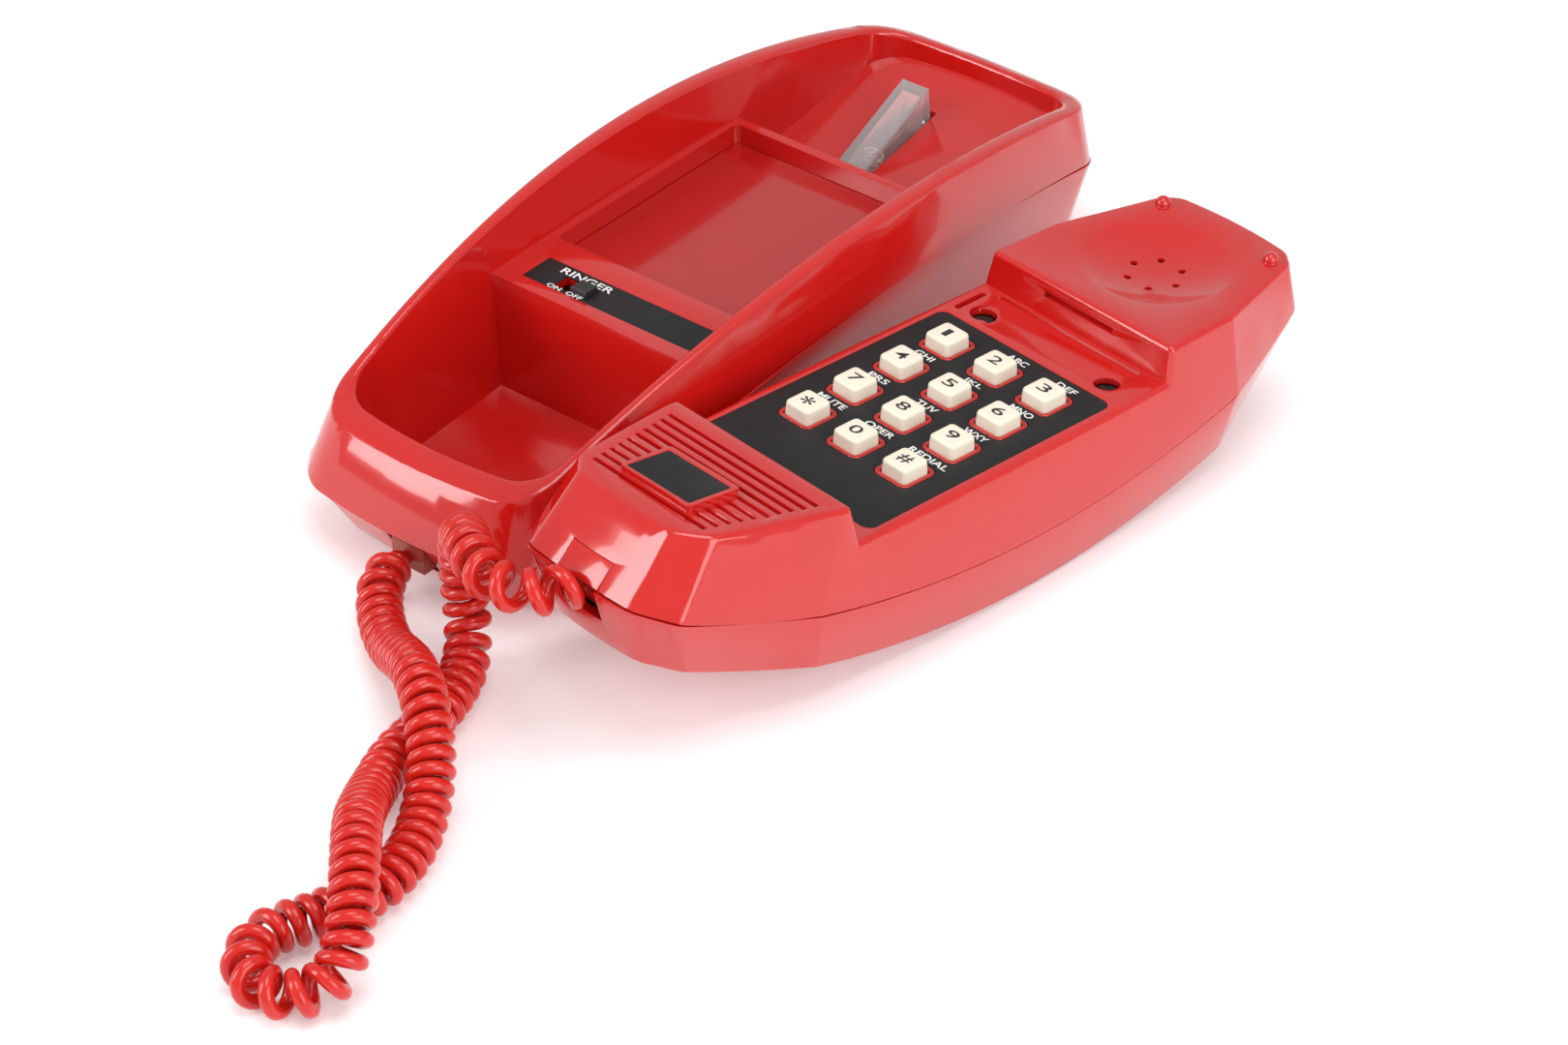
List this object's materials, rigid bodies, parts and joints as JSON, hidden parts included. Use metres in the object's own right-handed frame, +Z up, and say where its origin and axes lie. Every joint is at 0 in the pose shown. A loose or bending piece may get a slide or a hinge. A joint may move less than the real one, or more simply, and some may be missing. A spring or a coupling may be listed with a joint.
{
  "type": "slimline telephone",
  "caption": "Slimline desk or wall telephone off the hook: arched cradle base with hook lever and ringer switch, keypad handset beside it, joined by a coiled cord.",
  "frame": {"origin": "On the table plane, below the middle of base and handset together", "axes": "+Z up, +Y along the base from its cord end to its ear end, +X from the base towards the handset lying beside it"},
  "size_m": [0.1588, 0.34, 0.055],
  "materials": {
    "red_shell": "glossy moulded ABS",
    "red_card_panel": "glossy moulded ABS",
    "red_cord": "glossy flexible PVC",
    "key_ivory": "satin moulded ABS, off-white",
    "black_overlay": "satin printed sheet",
    "black_label": "satin printed strip",
    "black_switch": "matt black moulding",
    "clear_lever": "clear moulded plastic",
    "plug_clear": "clear moulded plastic",
    "jack_nylon": "matt nylon",
    "steel": "zinc plated steel",
    "cast_weight": "raw cast weight",
    "capsule_metal": "satin can",
    "circuit_board": "phenolic board",
    "components": "mixed components",
    "black_rubber": "matt rubber",
    "grey_rubber": "matt silicone"
  },
  "bodies": {
    "base": {"base_upper_housing": "red_shell", "base_lower_housing": "red_shell", "card_panel": "red_card_panel", "ringer_label_strip": "black_label", "ringer_switch_body": "black_switch", "hook_lever_pin": "steel", "hook_return_spring": "steel", "base_circuit_board": "circuit_board", "hook_switch_body": "black_switch", "board_components": "components", "board_screws": "steel", "base_screws": "steel", "base_feet": "black_rubber", "ballast_plate": "cast_weight", "ringer_sounder": "black_switch", "line_jack": "jack_nylon", "base_cord_jack": "jack_nylon", "base_cord_plug": "plug_clear", "curly_cord": "red_cord"},
    "handset": {"handset_front_housing": "red_shell", "handset_back_housing": "red_shell", "keypad_overlay": "black_overlay", "keypad_membrane": "grey_rubber", "keypad_circuit_board": "circuit_board", "keypad_screws": "steel", "receiver_gasket": "grey_rubber", "receiver_capsule": "capsule_metal", "microphone_capsule": "capsule_metal", "microphone_grommet": "grey_rubber", "handset_screws": "steel", "handset_weight": "cast_weight", "badge_plate": "black_overlay", "handset_cord_jack": "jack_nylon", "handset_cord_plug": "plug_clear"},
    "key_1_cap": {"key_1": "key_ivory"},
    "key_2_cap": {"key_2": "key_ivory"},
    "key_3_cap": {"key_3": "key_ivory"},
    "key_4_cap": {"key_4": "key_ivory"},
    "key_5_cap": {"key_5": "key_ivory"},
    "key_6_cap": {"key_6": "key_ivory"},
    "key_7_cap": {"key_7": "key_ivory"},
    "key_8_cap": {"key_8": "key_ivory"},
    "key_9_cap": {"key_9": "key_ivory"},
    "key_star_cap": {"key_star": "key_ivory"},
    "key_0_cap": {"key_0": "key_ivory"},
    "key_hash_cap": {"key_hash": "key_ivory"},
    "lever": {"hook_lever": "clear_lever"},
    "ringer_knob": {"ringer_switch_knob": "black_switch"}
  },
  "joints": [
    {"name": "handset_lift", "type": "slide", "parent": "base", "child": "handset", "axis": [0, 0, 1], "range_m": [0, 0.06], "deforming": ["curly_cord"]},
    {"name": "key_1_press", "type": "slide", "parent": "handset", "child": "key_1_cap", "axis": [-0.0058, -0.0415, -0.9991], "range_m": [0, 0.0015], "stiffness_N_per_m": 300, "springref_m": -0.001},
    {"name": "key_2_press", "type": "slide", "parent": "handset", "child": "key_2_cap", "axis": [-0.0058, -0.0415, -0.9991], "range_m": [0, 0.0015], "stiffness_N_per_m": 300, "springref_m": -0.001},
    {"name": "key_3_press", "type": "slide", "parent": "handset", "child": "key_3_cap", "axis": [-0.0058, -0.0415, -0.9991], "range_m": [0, 0.0015], "stiffness_N_per_m": 300, "springref_m": -0.001},
    {"name": "key_4_press", "type": "slide", "parent": "handset", "child": "key_4_cap", "axis": [-0.0058, -0.0415, -0.9991], "range_m": [0, 0.0015], "stiffness_N_per_m": 300, "springref_m": -0.001},
    {"name": "key_5_press", "type": "slide", "parent": "handset", "child": "key_5_cap", "axis": [-0.0058, -0.0415, -0.9991], "range_m": [0, 0.0015], "stiffness_N_per_m": 300, "springref_m": -0.001},
    {"name": "key_6_press", "type": "slide", "parent": "handset", "child": "key_6_cap", "axis": [-0.0058, -0.0415, -0.9991], "range_m": [0, 0.0015], "stiffness_N_per_m": 300, "springref_m": -0.001},
    {"name": "key_7_press", "type": "slide", "parent": "handset", "child": "key_7_cap", "axis": [-0.0058, -0.0415, -0.9991], "range_m": [0, 0.0015], "stiffness_N_per_m": 300, "springref_m": -0.001},
    {"name": "key_8_press", "type": "slide", "parent": "handset", "child": "key_8_cap", "axis": [-0.0058, -0.0415, -0.9991], "range_m": [0, 0.0015], "stiffness_N_per_m": 300, "springref_m": -0.001},
    {"name": "key_9_press", "type": "slide", "parent": "handset", "child": "key_9_cap", "axis": [-0.0058, -0.0415, -0.9991], "range_m": [0, 0.0015], "stiffness_N_per_m": 300, "springref_m": -0.001},
    {"name": "key_star_press", "type": "slide", "parent": "handset", "child": "key_star_cap", "axis": [-0.0058, -0.0415, -0.9991], "range_m": [0, 0.0015], "stiffness_N_per_m": 300, "springref_m": -0.001},
    {"name": "key_0_press", "type": "slide", "parent": "handset", "child": "key_0_cap", "axis": [-0.0058, -0.0415, -0.9991], "range_m": [0, 0.0015], "stiffness_N_per_m": 300, "springref_m": -0.001},
    {"name": "key_hash_press", "type": "slide", "parent": "handset", "child": "key_hash_cap", "axis": [-0.0058, -0.0415, -0.9991], "range_m": [0, 0.0015], "stiffness_N_per_m": 300, "springref_m": -0.001},
    {"name": "hook_lever_pivot", "type": "hinge", "parent": "base", "child": "lever", "pos_m": [-0.045, 0.06136, 0.0184], "axis": [-1, 0, 0], "range_deg": [0, 9.3], "stiffness_Nm_per_rad": 0.02, "springref_deg": -17.19, "deforming": ["hook_return_spring"]},
    {"name": "ringer_switch_slide", "type": "slide", "parent": "base", "child": "ringer_knob", "axis": [-1, 0, 0], "range_m": [0, 0.0044]}
  ]
}
